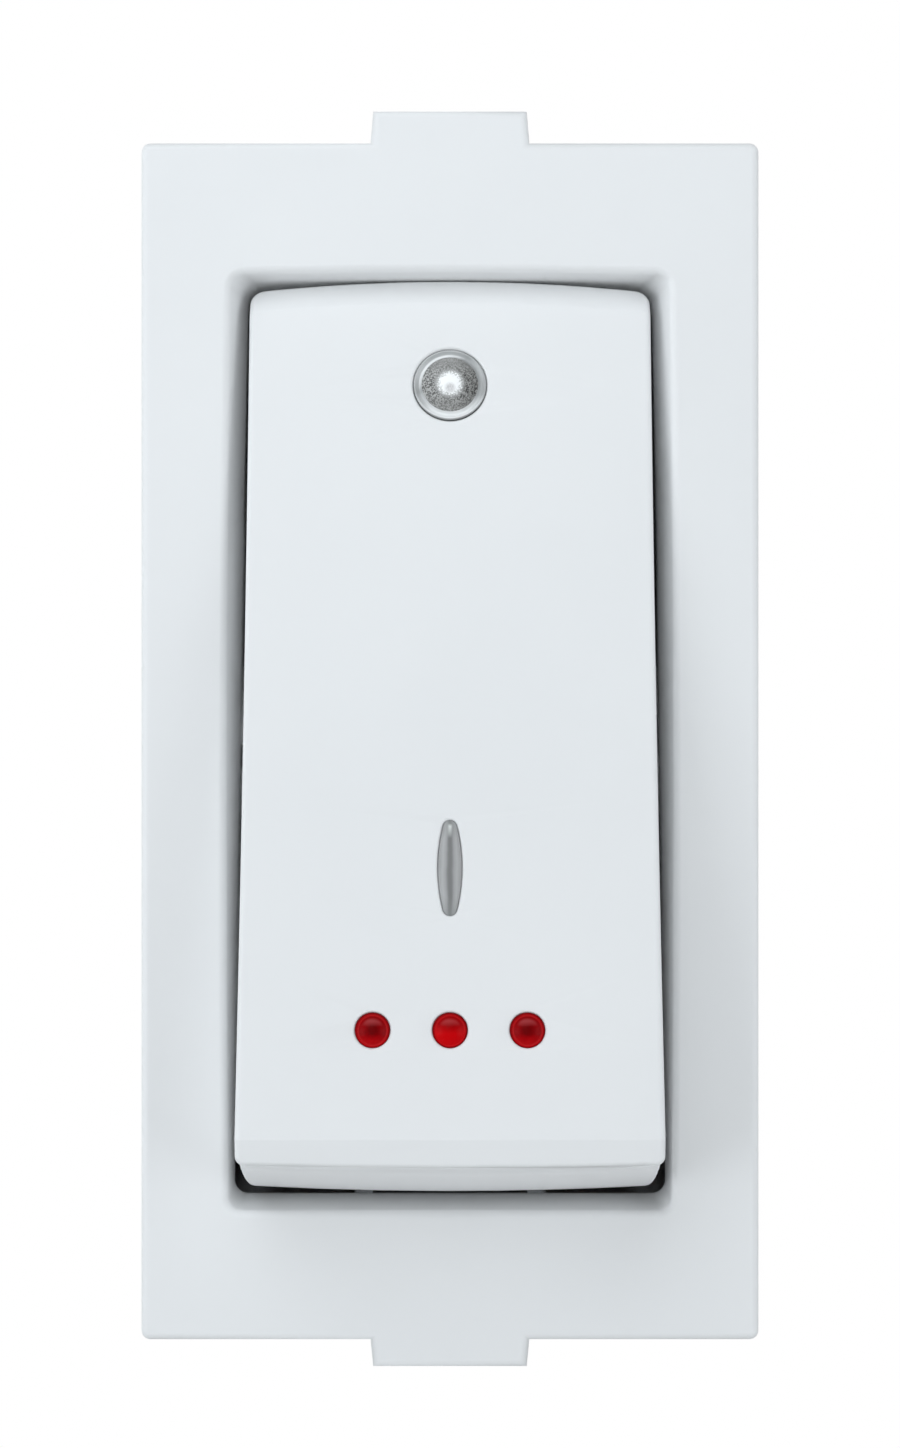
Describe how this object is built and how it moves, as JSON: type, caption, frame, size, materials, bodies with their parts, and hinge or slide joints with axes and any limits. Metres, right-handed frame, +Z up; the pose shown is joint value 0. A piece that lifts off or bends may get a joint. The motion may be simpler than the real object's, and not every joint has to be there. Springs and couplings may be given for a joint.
{
  "type": "modular switch with indicator",
  "caption": "One-module white wall switch with a concave rocker, frosted indicator lens, on mark and red dots, and screw terminals behind.",
  "frame": {"origin": "centre of the front plate's seating face, where the support frame lies against it", "axes": "+X right as seen from the front, +Y into the wall, +Z up"},
  "size_m": [0.0226, 0.0371, 0.0458],
  "materials": {
    "white_plastic": "fine satin gloss",
    "rocker_plastic": "fine satin gloss",
    "housing_plastic": "matt moulded",
    "clear_plastic": "clear polished",
    "frosted_plastic": "frosted, speckled",
    "grey_translucent": "translucent grey",
    "red_translucent": "translucent red, polished",
    "lamp_glass": "clear",
    "tinned_wire": "tinned",
    "resistor_coat": "lacquered",
    "plunger_plastic": "natural nylon",
    "spring_steel": "drawn wire",
    "copper": "stamped copper",
    "silver": "silver alloy",
    "brass": "machined",
    "plated_steel": "zinc plated"
  },
  "bodies": {
    "housing": {"front_plate": "white_plastic", "rear_housing": "housing_plastic", "lamp_holder": "housing_plastic", "neon_lamp": "lamp_glass", "lamp_lead_right": "tinned_wire", "lamp_lead_left": "tinned_wire", "resistor_lead": "tinned_wire", "ballast_resistor": "resistor_coat", "pivot_terminal_left": "copper", "fixed_contact_left": "copper", "fixed_tip_left": "silver", "pivot_terminal_right": "copper", "fixed_contact_right": "copper", "fixed_tip_right": "silver", "terminal_block_top_left": "brass", "terminal_block_bottom_left": "brass", "terminal_block_top_right": "brass", "terminal_block_bottom_right": "brass"},
    "rocker": {"rocker": "rocker_plastic", "indicator_lens": "clear_plastic", "light_pipe": "frosted_plastic", "on_mark_insert": "grey_translucent", "red_marker_strip": "red_translucent", "plunger_spring_left": "spring_steel", "plunger_spring_right": "spring_steel"},
    "plunger_left": {"plunger_left": "plunger_plastic"},
    "contact_left": {"moving_contact_left": "copper", "moving_tip_left": "silver"},
    "plunger_right": {"plunger_right": "plunger_plastic"},
    "contact_right": {"moving_contact_right": "copper", "moving_tip_right": "silver"},
    "clamp_top_left": {"pressure_plate_top_left": "plated_steel"},
    "screw_top_left": {"terminal_screw_top_left": "plated_steel"},
    "clamp_bottom_left": {"pressure_plate_bottom_left": "plated_steel"},
    "screw_bottom_left": {"terminal_screw_bottom_left": "plated_steel"},
    "clamp_top_right": {"pressure_plate_top_right": "plated_steel"},
    "screw_top_right": {"terminal_screw_top_right": "plated_steel"},
    "clamp_bottom_right": {"pressure_plate_bottom_right": "plated_steel"},
    "screw_bottom_right": {"terminal_screw_bottom_right": "plated_steel"}
  },
  "joints": [
    {"name": "rocker_tilt", "type": "hinge", "parent": "housing", "child": "rocker", "pos_m": [0, 0.0012, 0], "axis": [1, 0, 0], "range_deg": [0, 22]},
    {"name": "contact_rock_left", "type": "hinge", "parent": "housing", "child": "contact_left", "pos_m": [-0.0046, 0.0109, 0], "axis": [1, 0, 0], "range_deg": [-20, 0]},
    {"name": "plunger_slide_left", "type": "slide", "parent": "rocker", "child": "plunger_left", "axis": [0, -0.9816, 0.1908], "range_m": [0, 0.0008], "stiffness_N_per_m": 500, "deforming": ["plunger_spring_left"]},
    {"name": "contact_rock_right", "type": "hinge", "parent": "housing", "child": "contact_right", "pos_m": [0.0046, 0.0109, 0], "axis": [1, 0, 0], "range_deg": [-20, 0]},
    {"name": "plunger_slide_right", "type": "slide", "parent": "rocker", "child": "plunger_right", "axis": [0, -0.9816, 0.1908], "range_m": [0, 0.0008], "stiffness_N_per_m": 500, "deforming": ["plunger_spring_right"]},
    {"name": "clamp_slide_top_left", "type": "slide", "parent": "housing", "child": "clamp_top_left", "axis": [0, -1, 0], "range_m": [0, 0.0024]},
    {"name": "screw_turn_top_left", "type": "hinge", "parent": "clamp_top_left", "child": "screw_top_left", "pos_m": [-0.0046, 0.02654, 0.01336], "axis": [0, -1, 0], "range_deg": [0, 1440.1]},
    {"name": "clamp_slide_bottom_left", "type": "slide", "parent": "housing", "child": "clamp_bottom_left", "axis": [0, -1, 0], "range_m": [0, 0.0024]},
    {"name": "screw_turn_bottom_left", "type": "hinge", "parent": "clamp_bottom_left", "child": "screw_bottom_left", "pos_m": [-0.0046, 0.02654, -0.01336], "axis": [0, -1, 0], "range_deg": [0, 1440.1]},
    {"name": "clamp_slide_top_right", "type": "slide", "parent": "housing", "child": "clamp_top_right", "axis": [0, -1, 0], "range_m": [0, 0.0024]},
    {"name": "screw_turn_top_right", "type": "hinge", "parent": "clamp_top_right", "child": "screw_top_right", "pos_m": [0.0046, 0.02654, 0.01336], "axis": [0, -1, 0], "range_deg": [0, 1440.1]},
    {"name": "clamp_slide_bottom_right", "type": "slide", "parent": "housing", "child": "clamp_bottom_right", "axis": [0, -1, 0], "range_m": [0, 0.0024]},
    {"name": "screw_turn_bottom_right", "type": "hinge", "parent": "clamp_bottom_right", "child": "screw_bottom_right", "pos_m": [0.0046, 0.02654, -0.01336], "axis": [0, -1, 0], "range_deg": [0, 1440.1]}
  ],
  "couplings": [
    {"joint": "contact_rock_left", "follows": "rocker_tilt", "ratio": -0.90909},
    {"joint": "contact_rock_right", "follows": "rocker_tilt", "ratio": -0.90909},
    {"joint": "screw_turn_top_left", "follows": "clamp_slide_top_left", "rad_per_m": 10472},
    {"joint": "screw_turn_bottom_left", "follows": "clamp_slide_bottom_left", "rad_per_m": 10472},
    {"joint": "screw_turn_top_right", "follows": "clamp_slide_top_right", "rad_per_m": 10472},
    {"joint": "screw_turn_bottom_right", "follows": "clamp_slide_bottom_right", "rad_per_m": 10472}
  ]
}
